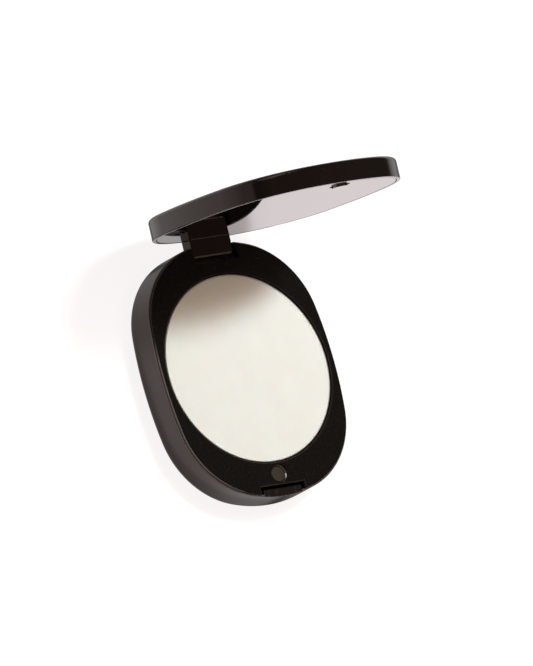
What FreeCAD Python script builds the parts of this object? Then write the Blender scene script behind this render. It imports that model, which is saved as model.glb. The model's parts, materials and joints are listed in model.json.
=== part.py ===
"""Pocket mirror compact with a pan of balm, standing open.

Millimetres. X is the width, +Y points to the hinge, +Z is up. The origin is the middle of the
underside of the base. The lid's pieces are drawn closed, about the hinge pin, and then swung open.
"""
import FreeCAD, Part
import math
import os
import Sketcher

# Driving dimensions: name, size, meaning.
DIMENSIONS = [
    # The oval that base and lid share
    ("case_length", 68.0, "length of base and lid"),
    ("case_width", 54.8, "width of base and lid"),
    ("side_radius", 102.0, "arc of the long sides"),
    ("end_radius", 37.0, "arc of the front and back ends"),
    ("corner_radius", 22.5, "arc that joins side and end"),
    # Base tray
    ("rim_height", 9.5, "top of the tray's wall"),
    ("base_wall", 1.8, "thickness of the tray's wall"),
    ("base_floor", 1.2, "thickness of the tray's floor"),
    ("base_round", 2.0, "round along the bottom edge"),
    ("rim_round", 0.15, "round along the tray's upper edge"),
    ("seat_outer", 20.0, "outer radius of the ring that carries the pan"),
    ("seat_inner", 17.0, "inner radius of that ring"),
    ("post_side", 12.5, "deck posts, distance from the centre line"),
    ("post_reach", 27.0, "deck posts, distance to front and back"),
    ("post_radius", 1.7, "radius of a deck post"),
    # Deck plate
    ("deck_inset", 0.4, "step from the tray's outline to the deck's"),
    ("deck_rise", 0.6, "deck above the tray's rim"),
    ("deck_round", 0.25, "round along the deck's outer edge"),
    ("opening_radius", 25.25, "round opening for the pan"),
    ("opening_chamfer", 0.2, "chamfer round that opening"),
    ("peg_radius", 0.8, "pegs under the deck"),
    ("peg_length", 2.5, "length of a peg"),
    ("notch_half", 7.0, "half width of the finger notch"),
    ("notch_back", 31.0, "inner edge of the finger notch"),
    ("notch_front", 36.0, "the notch runs out past the front"),
    ("pad_half", 6.0, "half width of the thumb pad in the notch"),
    ("pad_back", 31.75, "inner edge of the thumb pad"),
    ("pad_front", 33.0, "the pad runs into the tray's wall"),
    ("groove_front", 32.9, "front end of the grooves beside the pad"),
    ("groove_depth", 2.5, "depth of those grooves"),
    # Pan and balm
    ("pan_shift", 0.16, "pan's centre, towards the hinge"),
    ("pan_radius", 25.0, "outer radius of the pan"),
    ("pan_depth", 5.0, "height of the pan"),
    ("pan_wall", 0.3, "sheet thickness of the pan"),
    ("pan_round", 0.8, "round at the pan's foot"),
    ("pan_drop", 0.35, "pan's edge below the deck's top"),
    ("balm_drop", 0.1, "balm below the pan's edge"),
    ("balm_round", 0.08, "soft edge of the balm"),
    ("tape_thickness", 0.15, "double-sided tape"),
    # Magnets
    ("magnet_reach", 28.1, "magnets, distance to the front"),
    ("magnet_hole", 2.5, "radius of the hole in deck and mirror"),
    ("magnet_post", 2.6, "radius of the post under the cup"),
    ("cup_radius", 2.45, "outer radius of the magnet's cup"),
    ("cup_bore", 2.2, "inner radius of the cup"),
    ("cup_height", 1.6, "height of the cup"),
    ("cup_floor", 0.3, "floor of the cup"),
    ("cup_drop", 0.4, "cup's lip below the deck's top"),
    ("magnet_radius", 2.05, "radius of a disc magnet"),
    ("magnet_drop", 0.5, "base magnet below the deck's top"),
    # Hinge
    ("open_angle", 85.0, "lid's opening, in degrees"),
    ("pin_reach", 32.3, "hinge pin, distance to the back"),
    ("pin_height", 6.9, "hinge pin above the underside"),
    ("pin_radius", 0.5, "radius of the pin"),
    ("pin_half", 8.2, "half length of the pin"),
    ("bore_radius", 0.53, "bore of the arm, a running fit"),
    ("slot_half", 6.9, "half width of the hinge slot"),
    ("slot_front", 28.95, "front of the hinge slot"),
    ("slot_back", 36.0, "the slot runs out past the back"),
    ("slot_floor", 3.8, "floor of the hinge slot"),
    ("lug_half", 9.4, "half width of the hinge block"),
    ("lug_front", 27.75, "front of the hinge block"),
    ("lug_back", 32.2, "back of the hinge block, inside the wall"),
    ("keeper_inner", 7.05, "pin keepers, inner side"),
    ("keeper_outer", 8.0, "pin keepers, outer side"),
    ("keeper_half", 0.4, "half depth of a keeper"),
    ("keeper_gap", 0.02, "keeper above the pin"),
    ("arm_half", 6.4, "half width of the hinge arm"),
    ("arm_front", 30.1, "front of the arm, lid closed"),
    ("arm_back", 33.45, "back of the arm, lid closed"),
    ("arm_drop", 1.5, "arm below the pin's axis"),
    ("arm_round", 0.45, "round at the arm's foot"),
    ("arm_chamfer", 0.6, "chamfer at the sides of that foot"),
    ("collar_radius", 1.4, "collars either side of the arm"),
    ("collar_half", 6.8, "half width over the collars"),
    # Lid
    ("lid_gap", 0.2, "closed lid above the deck"),
    ("lid_height", 5.5, "height of the lid"),
    ("lid_top", 1.2, "thickness of the lid's top"),
    ("lid_round", 1.0, "round along the lid's top edge"),
    ("lid_wall", 0.95, "thickness of the lid's wall"),
    ("ledge_inset", 1.75, "ledge that carries the backing plate"),
    ("mirror_inset", 1.05, "outline of mirror and backing"),
    ("mirror_thickness", 1.3, "thickness of the glass"),
    ("mirror_bevel", 0.2, "ground edge of the glass"),
    ("backing_thickness", 1.0, "plate behind the mirror"),
    ("glue_inset", 2.0, "outline of the adhesive sheet"),
    ("cutout_half", 6.6, "half width of the mirror's cut-out"),
    ("cutout_front", 29.9, "front of the mirror's cut-out"),
    ("lid_magnet_rise", 0.5, "lid magnet in front of the mirror's face"),
    ("lid_magnet_height", 3.0, "height of the lid magnet"),
]
SIZE = {name: size for name, size, _ in DIMENSIONS}

# Heights that several pieces share, as formulas of the sheet.
DECK_TOP = "(dims.rim_height + dims.deck_rise)"
PAN_EDGE = f"({DECK_TOP} - dims.pan_drop)"
PAN_FOOT = f"({PAN_EDGE} - dims.pan_depth)"
CUP_FOOT = f"({DECK_TOP} - dims.cup_drop - dims.cup_height)"
LID_FACE = f"({DECK_TOP} + dims.lid_gap - dims.pin_height)"
BACKING_FACE = f"({LID_FACE} + dims.mirror_thickness + dims.tape_thickness)"
LEDGE_DEPTH = "(dims.mirror_thickness + dims.tape_thickness + dims.backing_thickness)"

doc = FreeCAD.newDocument("compact")
sheet = doc.addObject("Spreadsheet::Sheet", "dims")
for row, (name, size, meaning) in enumerate(DIMENSIONS, start=1):
    sheet.set(f"A{row}", name)
    sheet.set(f"B{row}", str(size))
    sheet.set(f"C{row}", meaning)
    sheet.setAlias(f"B{row}", name)
doc.recompute()


# Sketch helpers. Every size in a sketch is bound to the sheet.

def new_body(label):
    body = doc.addObject("PartDesign::Body", label)
    body.Label = label
    return body


def new_sketch(body, name, height, plane="XY_Plane", shift=None):
    """A sketch on one of the body's own planes, raised to a height and moved along Y."""
    sketch = body.newObject("Sketcher::SketchObject", f"{body.Label}_{name}")
    support = next(part for part in body.Origin.OriginFeatures if part.Role == plane)
    sketch.AttachmentSupport = [(support, "")]
    sketch.MapMode = "FlatFace"
    sketch.setExpression("AttachmentOffset.Base.z", height)
    if shift:
        sketch.setExpression("AttachmentOffset.Base.y", shift)
    return sketch


def bind(sketch, constraint, formula):
    """Add one constraint whose size is a formula of the sheet."""
    index = sketch.addConstraint(constraint)
    name = f"size_{index}"
    sketch.renameConstraint(index, name)
    sketch.setExpression(f"Constraints.{name}", formula)


def hold(sketch, axis, geometry, point, size, formula, side):
    """Keep a point at a distance from the sketch's origin, on its positive or negative side."""
    ends = (-1, 1, geometry, point) if side > 0 else (geometry, point, -1, 1)
    bind(sketch, Sketcher.Constraint(f"Distance{axis}", *ends, size), formula)


def hold_at(sketch, axis, geometry, point, name, side):
    """The same, for a distance that has a name in the sheet."""
    hold(sketch, axis, geometry, point, SIZE[name], f"dims.{name}", side)


def oval(sketch, inset=None):
    """The case's outline: two side arcs, two end arcs and four corner arcs, all tangent."""
    side, end, corner = SIZE["side_radius"], SIZE["end_radius"], SIZE["corner_radius"]
    less = SIZE[inset] if inset else 0.0
    side_x = side - SIZE["case_width"] / 2
    end_y = end - SIZE["case_length"] / 2
    # The corner's centre lies where it is tangent to both its neighbours.
    span = math.hypot(side_x, end_y)
    reach, rest = side - corner, end - corner
    along = (reach ** 2 - rest ** 2 + span ** 2) / (2 * span)
    away = math.sqrt(reach ** 2 - along ** 2)
    ux, uy = side_x / span, -end_y / span
    corner_x = -side_x + along * ux - away * uy
    corner_y = along * uy + away * ux
    rise = math.atan2(corner_y, corner_x + side_x)
    turn = math.atan2(corner_y + end_y, corner_x)
    arcs = [
        (-side_x, 0, side, -rise, rise),
        (corner_x, corner_y, corner, rise, turn),
        (0, -end_y, end, turn, math.pi - turn),
        (-corner_x, corner_y, corner, math.pi - turn, math.pi - rise),
        (side_x, 0, side, math.pi - rise, math.pi + rise),
        (-corner_x, -corner_y, corner, math.pi + rise, math.pi + turn),
        (0, end_y, end, math.pi + turn, 2 * math.pi - turn),
        (corner_x, -corner_y, corner, 2 * math.pi - turn, 2 * math.pi - rise),
    ]
    first = sketch.GeometryCount
    for x, y, radius, start, stop in arcs:
        circle = Part.Circle(FreeCAD.Vector(x, y, 0), FreeCAD.Vector(0, 0, 1), radius - less)
        sketch.addGeometry(Part.ArcOfCircle(circle, start, stop), False)
    count = len(arcs)
    for place in range(count):
        following = first + (place + 1) % count
        sketch.addConstraint(Sketcher.Constraint("Tangent", first + place, 2, following, 1))
    side_formula = "dims.side_radius - dims.case_width / 2"
    end_formula = "dims.end_radius - dims.case_length / 2"
    for place, way in ((0, -1), (4, 1)):
        hold(sketch, "X", first + place, 3, side_x, side_formula, way)
        sketch.addConstraint(Sketcher.Constraint("PointOnObject", first + place, 3, -1))
    for place, way in ((2, -1), (6, 1)):
        hold(sketch, "Y", first + place, 3, end_y, end_formula, way)
        sketch.addConstraint(Sketcher.Constraint("PointOnObject", first + place, 3, -2))
    taken = f" - dims.{inset}" if inset else ""
    for place, name in ((0, "side_radius"), (2, "end_radius"), (1, "corner_radius")):
        bind(sketch, Sketcher.Constraint("Radius", first + place, SIZE[name] - less), f"dims.{name}{taken}")
    for place, twin in ((0, 4), (2, 6), (1, 3), (1, 5), (1, 7)):
        sketch.addConstraint(Sketcher.Constraint("Equal", first + place, first + twin))


def rectangle(sketch, left, right, low, high):
    """A rectangle whose four sides are given as (name, side) distances from the origin."""
    xs = [SIZE[name] * side for name, side in (left, right)]
    ys = [SIZE[name] * side for name, side in (low, high)]
    corners = [(xs[0], ys[0]), (xs[1], ys[0]), (xs[1], ys[1]), (xs[0], ys[1])]
    first = sketch.GeometryCount
    for place, corner in enumerate(corners):
        start = FreeCAD.Vector(*corner, 0)
        stop = FreeCAD.Vector(*corners[(place + 1) % 4], 0)
        sketch.addGeometry(Part.LineSegment(start, stop), False)
    for place in range(4):
        following = first + (place + 1) % 4
        sketch.addConstraint(Sketcher.Constraint("Coincident", first + place, 2, following, 1))
        direction = "Horizontal" if place % 2 == 0 else "Vertical"
        sketch.addConstraint(Sketcher.Constraint(direction, first + place))
    hold_at(sketch, "X", first + 3, 2, *left)
    hold_at(sketch, "X", first + 1, 1, *right)
    hold_at(sketch, "Y", first, 1, *low)
    hold_at(sketch, "Y", first + 2, 1, *high)


def circle(sketch, radius, x=None, y=None, inset=None):
    """A circle at (name, side) distances from the origin, or on an axis where one is left out."""
    size = SIZE[radius] - (SIZE[inset] if inset else 0.0)
    taken = f" - dims.{inset}" if inset else ""
    centre = [SIZE[spot[0]] * spot[1] if spot else 0.0 for spot in (x, y)]
    shape = Part.Circle(FreeCAD.Vector(*centre, 0), FreeCAD.Vector(0, 0, 1), size)
    geometry = sketch.addGeometry(shape, False)
    bind(sketch, Sketcher.Constraint("Radius", geometry, size), f"dims.{radius}{taken}")
    for axis, line, spot in (("X", -2, x), ("Y", -1, y)):
        if spot:
            hold_at(sketch, axis, geometry, 3, *spot)
        else:
            sketch.addConstraint(Sketcher.Constraint("PointOnObject", geometry, 3, line))


# Feature helpers.

def add(body, sketch, length, reversed_way=False, both_ways=False):
    """Pad a sketch along its normal, against it, or half to each side."""
    return extrude(body, "Pad", sketch, length, reversed_way, both_ways)


def cut(body, sketch, length, reversed_way=False, both_ways=False):
    """Pocket a sketch against its normal, along it, or half to each side, and see that it cuts."""
    before = body.Shape.Volume
    feature = extrude(body, "Pocket", sketch, length, reversed_way, both_ways)
    if body.Shape.Volume > before - 1e-6:
        raise RuntimeError(f"{feature.Label} cuts nothing")
    return feature


def extrude(body, kind, sketch, length, reversed_way, both_ways):
    feature = body.newObject(f"PartDesign::{kind}", f"{sketch.Name}_{kind.lower()}")
    feature.Profile = sketch
    feature.setExpression("Length", length)
    feature.Reversed = reversed_way
    if both_ways:
        feature.SideType = "Symmetric"
    doc.recompute()
    return feature


def dress(body, kind, size_property, size, chosen):
    """Round or chamfer the edges of the body's tip that a test picks."""
    base = body.Tip
    names = [f"Edge{place}" for place, edge in enumerate(base.Shape.Edges, start=1) if chosen(edge)]
    feature = body.newObject(f"PartDesign::{kind}", f"{body.Label}_{kind.lower()}_{size}")
    feature.Base = (base, names)
    feature.setExpression(size_property, f"dims.{size}")
    doc.recompute()
    return feature


def flat_at(height):
    """A test for edges that lie level at a height."""
    def test(edge):
        box = edge.BoundBox
        return abs(box.ZMin - height) < 1e-4 and abs(box.ZMax - height) < 1e-4
    return test


def radius_at(height, radius):
    """A test for level round edges of one radius."""
    level = flat_at(height)

    def test(edge):
        return level(edge) and hasattr(edge.Curve, "Radius") and abs(edge.Curve.Radius - radius) < 1e-4
    return test


def rectangle_pair(sketch, inner, outer, low, high):
    """Two rectangles, mirrored left and right, between an inner and an outer distance."""
    rectangle(sketch, (outer, -1), (inner, -1), low, high)
    rectangle(sketch, (inner, 1), (outer, 1), low, high)


def four_corners(sketch, radius):
    for side in (-1, 1):
        for end in (-1, 1):
            circle(sketch, radius, ("post_side", side), ("post_reach", end))


# Base.

def make_base_shell():
    body = new_body("base_shell")
    outer = new_sketch(body, "outline", "0")
    oval(outer)
    add(body, outer, "dims.rim_height")
    dress(body, "Fillet", "Radius", "base_round", flat_at(0.0))
    dress(body, "Fillet", "Radius", "rim_round", flat_at(SIZE["rim_height"]))

    cavity = new_sketch(body, "cavity", "dims.rim_height")
    oval(cavity, "base_wall")
    cut(body, cavity, "dims.rim_height - dims.base_floor")

    seat = new_sketch(body, "pan_seat", "dims.base_floor")
    circle(seat, "seat_outer", y=("pan_shift", 1))
    circle(seat, "seat_inner", y=("pan_shift", 1))
    add(body, seat, f"{PAN_FOOT} - dims.tape_thickness - dims.base_floor")

    posts = new_sketch(body, "deck_posts", "dims.base_floor")
    four_corners(posts, "post_radius")
    add(body, posts, "dims.rim_height - dims.base_floor")
    sockets = new_sketch(body, "peg_sockets", "dims.rim_height")
    four_corners(sockets, "peg_radius")
    cut(body, sockets, "dims.peg_length")

    magnet_post = new_sketch(body, "magnet_post", "dims.base_floor")
    circle(magnet_post, "magnet_post", y=("magnet_reach", -1))
    add(body, magnet_post, f"{CUP_FOOT} - dims.base_floor")

    # The thumb pad lies in the deck's notch, with a groove at either end.
    pad = new_sketch(body, "thumb_pad", "dims.base_floor")
    rectangle(pad, ("pad_half", -1), ("pad_half", 1), ("pad_front", -1), ("pad_back", -1))
    add(body, pad, "dims.rim_height - dims.base_floor")
    grooves = new_sketch(body, "pad_grooves", "dims.rim_height")
    rectangle_pair(grooves, "pad_half", "notch_half", ("groove_front", -1), ("notch_back", -1))
    cut(body, grooves, "dims.groove_depth")

    block = new_sketch(body, "hinge_block", "dims.base_floor")
    rectangle(block, ("lug_half", -1), ("lug_half", 1), ("lug_front", 1), ("lug_back", 1))
    add(body, block, "dims.rim_height - dims.base_floor")
    slot = new_sketch(body, "hinge_slot", "dims.rim_height")
    rectangle(slot, ("slot_half", -1), ("slot_half", 1), ("slot_front", 1), ("slot_back", 1))
    cut(body, slot, "dims.rim_height - dims.slot_floor")

    # The pin drops into a round-bottomed groove in each lug.
    groove = new_sketch(body, "pin_groove", "dims.rim_height", shift="dims.pin_reach")
    rectangle(groove, ("pin_half", -1), ("pin_half", 1), ("pin_radius", -1), ("pin_radius", 1))
    cut(body, groove, "dims.rim_height - dims.pin_height")
    seat_bore = new_sketch(body, "pin_seat", "0", plane="YZ_Plane")
    circle(seat_bore, "pin_radius", ("pin_reach", 1), ("pin_height", 1))
    cut(body, seat_bore, "2 * dims.pin_half", both_ways=True)
    return body


def make_deck_plate():
    body = new_body("deck_plate")
    top = SIZE["rim_height"] + SIZE["deck_rise"]
    outer = new_sketch(body, "outline", "dims.rim_height")
    oval(outer, "deck_inset")
    add(body, outer, "dims.deck_rise")

    slot = new_sketch(body, "hinge_slot", DECK_TOP)
    rectangle(slot, ("slot_half", -1), ("slot_half", 1), ("slot_front", 1), ("slot_back", 1))
    cut(body, slot, "dims.deck_rise")
    notch = new_sketch(body, "finger_notch", DECK_TOP)
    rectangle(notch, ("notch_half", -1), ("notch_half", 1), ("notch_front", -1), ("notch_back", -1))
    cut(body, notch, "dims.deck_rise")
    dress(body, "Fillet", "Radius", "deck_round", flat_at(top))

    opening = new_sketch(body, "pan_opening", DECK_TOP)
    circle(opening, "opening_radius", y=("pan_shift", 1))
    cut(body, opening, "dims.deck_rise")
    dress(body, "Chamfer", "Size", "opening_chamfer", radius_at(top, SIZE["opening_radius"]))
    magnet_hole = new_sketch(body, "magnet_hole", DECK_TOP)
    circle(magnet_hole, "magnet_hole", y=("magnet_reach", -1))
    cut(body, magnet_hole, "dims.deck_rise")

    pegs = new_sketch(body, "pegs", "dims.rim_height")
    four_corners(pegs, "peg_radius")
    add(body, pegs, "dims.peg_length", reversed_way=True)
    keepers = new_sketch(body, "pin_keepers", "dims.rim_height", shift="dims.pin_reach")
    rectangle_pair(keepers, "keeper_inner", "keeper_outer", ("keeper_half", -1), ("keeper_half", 1))
    pin_top = "(dims.pin_height + dims.pin_radius + dims.keeper_gap)"
    add(body, keepers, f"dims.rim_height - {pin_top}", reversed_way=True)
    return body


def make_balm_pan():
    body = new_body("balm_pan")
    foot = SIZE["rim_height"] + SIZE["deck_rise"] - SIZE["pan_drop"] - SIZE["pan_depth"]
    disc = new_sketch(body, "disc", PAN_FOOT)
    circle(disc, "pan_radius", y=("pan_shift", 1))
    add(body, disc, "dims.pan_depth")
    dress(body, "Fillet", "Radius", "pan_round", flat_at(foot))
    bowl = new_sketch(body, "bowl", PAN_EDGE)
    circle(bowl, "pan_radius", y=("pan_shift", 1), inset="pan_wall")
    cut(body, bowl, "dims.pan_depth - dims.pan_wall")
    return body


def make_balm():
    body = new_body("balm")
    surface = SIZE["rim_height"] + SIZE["deck_rise"] - SIZE["pan_drop"] - SIZE["balm_drop"]
    disc = new_sketch(body, "disc", f"{PAN_FOOT} + dims.pan_wall")
    circle(disc, "pan_radius", y=("pan_shift", 1), inset="pan_wall")
    add(body, disc, "dims.pan_depth - dims.pan_wall - dims.balm_drop")
    dress(body, "Fillet", "Radius", "balm_round", flat_at(surface))
    return body


def make_pan_tape():
    body = new_body("pan_tape")
    ring = new_sketch(body, "ring", f"{PAN_FOOT} - dims.tape_thickness")
    circle(ring, "seat_outer", y=("pan_shift", 1))
    circle(ring, "seat_inner", y=("pan_shift", 1))
    add(body, ring, "dims.tape_thickness")
    return body


def make_magnet_cup():
    body = new_body("magnet_cup")
    disc = new_sketch(body, "disc", CUP_FOOT)
    circle(disc, "cup_radius", y=("magnet_reach", -1))
    add(body, disc, "dims.cup_height")
    bore = new_sketch(body, "bore", f"{DECK_TOP} - dims.cup_drop")
    circle(bore, "cup_bore", y=("magnet_reach", -1))
    cut(body, bore, "dims.cup_height - dims.cup_floor")
    return body


def make_base_magnet():
    magnet = doc.addObject("Part::Cylinder", "base_magnet")
    foot = f"({CUP_FOOT} + dims.cup_floor)"
    magnet.setExpression("Radius", "dims.magnet_radius")
    magnet.setExpression("Height", f"{DECK_TOP} - dims.magnet_drop - {foot}")
    magnet.setExpression("Placement.Base.y", "-dims.magnet_reach")
    magnet.setExpression("Placement.Base.z", foot)
    return magnet


def make_hinge_pin():
    pin = doc.addObject("Part::Cylinder", "hinge_pin")
    pin.Placement.Rotation = FreeCAD.Rotation(FreeCAD.Vector(0, 1, 0), 90)
    pin.setExpression("Radius", "dims.pin_radius")
    pin.setExpression("Height", "2 * dims.pin_half")
    pin.setExpression("Placement.Base.x", "-dims.pin_half")
    pin.setExpression("Placement.Base.y", "dims.pin_reach")
    pin.setExpression("Placement.Base.z", "dims.pin_height")
    return pin


# Lid. These bodies have the pin's axis as their own X axis, and their sketches are shifted back by
# the pin's distance, so that sizes in them read as on the closed case.

def lid_sketch(body, name, height):
    return new_sketch(body, name, height, shift="-dims.pin_reach")


def swing_open(piece):
    """Put a lid piece on the pin and turn it from closed to the lid's opening."""
    piece.Placement = FreeCAD.Placement(
        FreeCAD.Vector(0, SIZE["pin_reach"], SIZE["pin_height"]),
        FreeCAD.Rotation(FreeCAD.Vector(-1, 0, 0), SIZE["open_angle"]),
    )
    piece.setExpression("Placement.Base.y", "dims.pin_reach")
    piece.setExpression("Placement.Base.z", "dims.pin_height")
    piece.setExpression("Placement.Rotation.Angle", "dims.open_angle")


def make_lid_shell():
    body = new_body("lid_shell")
    face = SIZE["rim_height"] + SIZE["deck_rise"] + SIZE["lid_gap"] - SIZE["pin_height"]
    outer = lid_sketch(body, "outline", LID_FACE)
    oval(outer)
    add(body, outer, "dims.lid_height")
    dress(body, "Fillet", "Radius", "lid_round", flat_at(face + SIZE["lid_height"]))
    dress(body, "Fillet", "Radius", "rim_round", flat_at(face))

    recess = lid_sketch(body, "mirror_recess", LID_FACE)
    oval(recess, "lid_wall")
    cut(body, recess, LEDGE_DEPTH, reversed_way=True)
    cavity = lid_sketch(body, "cavity", LID_FACE)
    oval(cavity, "ledge_inset")
    cut(body, cavity, "dims.lid_height - dims.lid_top", reversed_way=True)

    arm = lid_sketch(body, "hinge_arm", "-dims.arm_drop")
    rectangle(arm, ("arm_half", -1), ("arm_half", 1), ("arm_front", 1), ("arm_back", 1))
    add(body, arm, f"{LID_FACE} + dims.lid_height - dims.lid_top + dims.arm_drop")
    foot = flat_at(-SIZE["arm_drop"])

    def side_of_foot(edge):
        return foot(edge) and edge.BoundBox.XLength < SIZE["arm_chamfer"]

    def length_of_foot(edge):
        return foot(edge) and edge.BoundBox.XLength > SIZE["arm_half"]
    dress(body, "Chamfer", "Size", "arm_chamfer", side_of_foot)
    dress(body, "Fillet", "Radius", "arm_round", length_of_foot)

    collars = new_sketch(body, "collars", "0", plane="YZ_Plane")
    circle(collars, "collar_radius")
    add(body, collars, "2 * dims.collar_half", both_ways=True)
    bore = new_sketch(body, "pin_bore", "0", plane="YZ_Plane")
    circle(bore, "bore_radius")
    cut(body, bore, "2 * dims.slot_half", both_ways=True)

    magnet_top = f"({LID_FACE} - dims.lid_magnet_rise + dims.lid_magnet_height)"
    post = lid_sketch(body, "magnet_post", magnet_top)
    circle(post, "magnet_post", y=("magnet_reach", -1))
    add(body, post, f"{LID_FACE} + dims.lid_height - dims.lid_top - {magnet_top}")
    return body


def plate(label, height, thickness, inset):
    """A sheet of the lid's outline, cut out round the arm and drilled over the magnet."""
    body = new_body(label)
    outline = lid_sketch(body, "outline", height)
    oval(outline, inset)
    add(body, outline, thickness)
    cutout = lid_sketch(body, "arm_cutout", height)
    rectangle(cutout, ("cutout_half", -1), ("cutout_half", 1), ("cutout_front", 1), ("slot_back", 1))
    cut(body, cutout, thickness, reversed_way=True)
    hole = lid_sketch(body, "magnet_hole", height)
    circle(hole, "magnet_hole", y=("magnet_reach", -1))
    cut(body, hole, thickness, reversed_way=True)
    return body


def make_mirror():
    body = plate("mirror", LID_FACE, "dims.mirror_thickness", "mirror_inset")
    face = SIZE["rim_height"] + SIZE["deck_rise"] + SIZE["lid_gap"] - SIZE["pin_height"]
    dress(body, "Chamfer", "Size", "mirror_bevel", flat_at(face))
    return body


def make_mirror_tape():
    return plate("mirror_tape", f"{LID_FACE} + dims.mirror_thickness", "dims.tape_thickness", "glue_inset")


def make_mirror_backing():
    return plate("mirror_backing", BACKING_FACE, "dims.backing_thickness", "mirror_inset")


def make_lid_magnet():
    body = new_body("lid_magnet")
    disc = lid_sketch(body, "disc", f"{LID_FACE} - dims.lid_magnet_rise")
    circle(disc, "magnet_radius", y=("magnet_reach", -1))
    add(body, disc, "dims.lid_magnet_height")
    return body


base_pieces = [
    make_base_shell(),
    make_deck_plate(),
    make_balm_pan(),
    make_balm(),
    make_pan_tape(),
    make_magnet_cup(),
    make_base_magnet(),
    make_hinge_pin(),
]
lid_pieces = [
    make_lid_shell(),
    make_mirror_backing(),
    make_mirror_tape(),
    make_mirror(),
    make_lid_magnet(),
]
for piece in lid_pieces:
    swing_open(piece)
doc.recompute()

# Nothing is written unless every object is sound.
for item in doc.Objects:
    if "Invalid" in item.State or "Error" in item.State:
        raise RuntimeError(f"{item.Label} failed: {item.State}")
os.makedirs("parts", exist_ok=True)
for piece in base_pieces + lid_pieces:
    shape = piece.Shape
    if shape.isNull() or not shape.isValid() or len(shape.Solids) != 1:
        raise RuntimeError(f"{piece.Label} is not one sound solid")
for piece in base_pieces + lid_pieces:
    piece.Shape.exportStep(f"parts/{piece.Label}.step")
    box = piece.Shape.BoundBox
    print(f"{piece.Label}: {piece.Shape.Volume:.1f} mm3, "
          f"{box.XLength:.2f} x {box.YLength:.2f} x {box.ZLength:.2f}")
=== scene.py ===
# %% [markdown]
# # A pocket mirror compact, standing open
# The object is a small oval case of black plastic. Its base carries a matte deck, a round metal pan
# full of ivory balm and a disc magnet. Its lid holds a mirror and swings on a short hinge arm.
# The rigid pieces come from the CAD frame, whose shapes are already right, so this lesson is mostly
# about finishes. Four pieces are built here: the pan, the balm, the base's magnet and the cup round
# it. A pressed lip, a poured surface and a tumbled edge are softer than the plain solids that stand
# for them in the frame.

# %% Load the fixed frame
import bmesh
import bpy
import json
import math
from mathutils import Matrix, Vector


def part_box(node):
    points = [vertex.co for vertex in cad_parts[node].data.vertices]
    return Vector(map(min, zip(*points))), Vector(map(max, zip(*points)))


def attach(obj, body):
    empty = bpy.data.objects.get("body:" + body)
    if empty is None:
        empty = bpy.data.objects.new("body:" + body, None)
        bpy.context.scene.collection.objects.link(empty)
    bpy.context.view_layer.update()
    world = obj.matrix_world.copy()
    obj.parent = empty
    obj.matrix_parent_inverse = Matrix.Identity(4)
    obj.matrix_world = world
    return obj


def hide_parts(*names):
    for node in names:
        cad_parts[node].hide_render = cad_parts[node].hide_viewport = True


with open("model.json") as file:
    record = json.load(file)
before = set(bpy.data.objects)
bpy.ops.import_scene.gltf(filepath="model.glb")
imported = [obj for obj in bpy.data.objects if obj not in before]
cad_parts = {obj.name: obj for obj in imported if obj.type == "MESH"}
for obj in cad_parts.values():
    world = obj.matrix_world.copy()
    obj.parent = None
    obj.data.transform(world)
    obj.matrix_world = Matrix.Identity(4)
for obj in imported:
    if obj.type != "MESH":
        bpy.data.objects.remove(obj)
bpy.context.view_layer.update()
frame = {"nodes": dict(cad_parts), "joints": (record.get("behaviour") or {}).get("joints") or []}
nodes = frame["nodes"]
MM = 0.001

# %% [markdown]
# ## The camera
# The photograph was taken with a long lens from far away: parallel edges stay parallel in it. A lens
# of about a metre at five metres gives the same flat view. The picture is also turned, so that the
# hinge is at the top, which is the roll below. Three plain rotations build it: turn round the
# object, look down, then roll the camera about its own axis.

# %% Camera at the photograph's angle
IMAGE_HEIGHT = 666
FOCAL_PIXELS = 20000
AZIMUTH = math.radians(-73.729)
ELEVATION = math.radians(51.446)
ROLL = math.radians(60.964)
AIM_RIGHT, AIM_UP, DISTANCE = 9.947 * MM, 12.017 * MM, 5082.3 * MM

camera_data = bpy.data.cameras.new("photo_camera")
camera_data.lens = FOCAL_PIXELS * camera_data.sensor_width / IMAGE_HEIGHT
camera_data.clip_end = 2 * DISTANCE
camera = bpy.data.objects.new("photo_camera", camera_data)
bpy.context.scene.collection.objects.link(camera)
turn = Matrix.Rotation(AZIMUTH, 4, "Z")
tilt = Matrix.Rotation(math.radians(90) - ELEVATION, 4, "X")
roll = Matrix.Rotation(ROLL, 4, "Z")
camera.matrix_world = turn @ tilt @ roll @ Matrix.Translation((AIM_RIGHT, AIM_UP, DISTANCE))
bpy.context.scene.camera = camera
bpy.context.scene.view_settings.view_transform = "Standard"
print("camera: lens", round(camera_data.lens), "mm at", round(DISTANCE, 2), "m")

# %% [markdown]
# ## Small helpers for node trees
# A node tree is easier to read when each line makes one node and joins it. `put` makes a node and
# fills its sockets: a number or colour is set on the socket, and another node's output is linked.
# `calc` does one sum, and `total` and `product` do it for any number of values.

# %% Node helpers
def put(tree, kind, settings=None, **sockets):
    """Add a node. Settings are its own options, sockets are its inputs by name or by in_NUMBER."""
    node = tree.nodes.new(kind)
    for name, value in (settings or {}).items():
        setattr(node, name, value)
    for name, value in sockets.items():
        place = int(name[3:]) if name.startswith("in_") else name.replace("_", " ")
        if isinstance(value, bpy.types.NodeSocket):
            tree.links.new(value, node.inputs[place])
        else:
            node.inputs[place].default_value = value
    return node


def calc(tree, operation, first, second=0.0):
    """One sum on values that change over the surface."""
    return put(tree, "ShaderNodeMath", {"operation": operation}, in_0=first, in_1=second).outputs[0]


def total(tree, *parts):
    """All the parts added."""
    whole = parts[0]
    for part in parts[1:]:
        whole = calc(tree, "ADD", whole, part)
    return whole


def product(tree, *factors):
    """All the factors multiplied."""
    whole = factors[0]
    for factor in factors[1:]:
        whole = calc(tree, "MULTIPLY", whole, factor)
    return whole


print("node helpers:", [helper.__name__ for helper in (put, calc, total, product)])

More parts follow.
